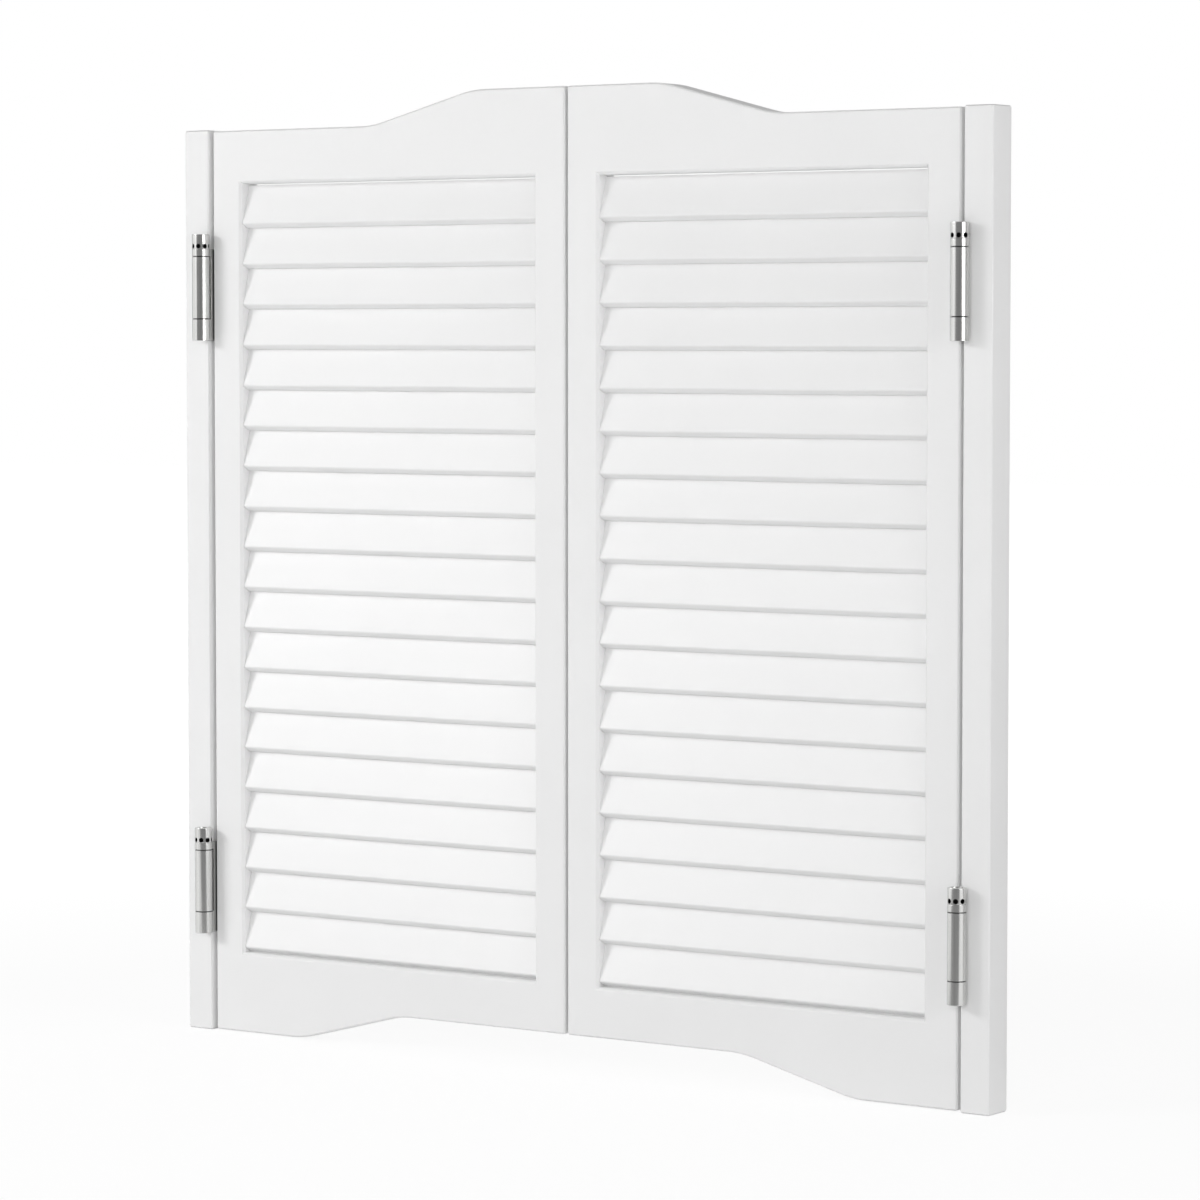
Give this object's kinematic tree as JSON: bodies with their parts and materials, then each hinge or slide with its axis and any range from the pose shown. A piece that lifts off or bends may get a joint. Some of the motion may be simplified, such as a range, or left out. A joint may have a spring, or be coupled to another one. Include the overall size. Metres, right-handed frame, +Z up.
{
  "type": "cafe swinging doors",
  "caption": "Louvered cafe swinging doors in white painted wood, hung from jamb strips on double-action spring hinges, so each leaf swings both ways and closes by itself.",
  "frame": {"origin": "middle of the passage, at mid thickness of the leaves, level with the foot of the jamb strips", "axes": "+X to the right seen from the front, +Y towards the back, +Z up; the front looks along -Y"},
  "size_m": [0.914, 0.068, 0.914],
  "materials": {
    "painted_wood": "satin white paint over wood grain",
    "stainless_steel": "stainless steel, brushed along the barrels",
    "spring_steel": "oiled spring steel"
  },
  "bodies": {
    "jamb_strips": {"left_jamb_strip": "painted_wood", "left_jamb_leaves": "stainless_steel", "right_jamb_strip": "painted_wood", "right_jamb_leaves": "stainless_steel"},
    "left_web": {"left_webs": "stainless_steel", "left_jamb_tension_caps": "stainless_steel", "left_jamb_spindles": "stainless_steel", "left_jamb_springs": "spring_steel", "left_jamb_tension_pins": "stainless_steel", "left_door_tension_caps": "stainless_steel", "left_door_spindles": "stainless_steel", "left_door_springs": "spring_steel", "left_door_tension_pins": "stainless_steel"},
    "left_door": {"left_hinge_stile": "painted_wood", "left_meeting_stile": "painted_wood", "left_top_rail": "painted_wood", "left_bottom_rail": "painted_wood", "left_louvers": "painted_wood", "left_door_leaves": "stainless_steel"},
    "right_web": {"right_webs": "stainless_steel", "right_jamb_tension_caps": "stainless_steel", "right_jamb_spindles": "stainless_steel", "right_jamb_springs": "spring_steel", "right_jamb_tension_pins": "stainless_steel", "right_door_tension_caps": "stainless_steel", "right_door_spindles": "stainless_steel", "right_door_springs": "spring_steel", "right_door_tension_pins": "stainless_steel"},
    "right_door": {"right_hinge_stile": "painted_wood", "right_meeting_stile": "painted_wood", "right_top_rail": "painted_wood", "right_bottom_rail": "painted_wood", "right_louvers": "painted_wood", "right_door_leaves": "stainless_steel"}
  },
  "joints": [
    {"name": "left_front_swing", "type": "hinge", "parent": "jamb_strips", "child": "left_web", "pos_m": [-0.429, -0.0255, 0.442], "axis": [0, 0, -1], "range_deg": [0, 90], "stiffness_Nm_per_rad": 1.2, "springref_deg": -11.46},
    {"name": "left_back_swing", "type": "hinge", "parent": "left_web", "child": "left_door", "pos_m": [-0.429, 0.0255, 0.442], "axis": [0, 0, -1], "range_deg": [-90, 0], "stiffness_Nm_per_rad": 1.2, "springref_deg": 11.46},
    {"name": "right_back_swing", "type": "hinge", "parent": "jamb_strips", "child": "right_web", "pos_m": [0.429, 0.0255, 0.442], "axis": [0, 0, 1], "range_deg": [-90, 0], "stiffness_Nm_per_rad": 1.2, "springref_deg": 11.46},
    {"name": "right_front_swing", "type": "hinge", "parent": "right_web", "child": "right_door", "pos_m": [0.429, -0.0255, 0.442], "axis": [0, 0, 1], "range_deg": [0, 90], "stiffness_Nm_per_rad": 1.2, "springref_deg": -11.46}
  ]
}
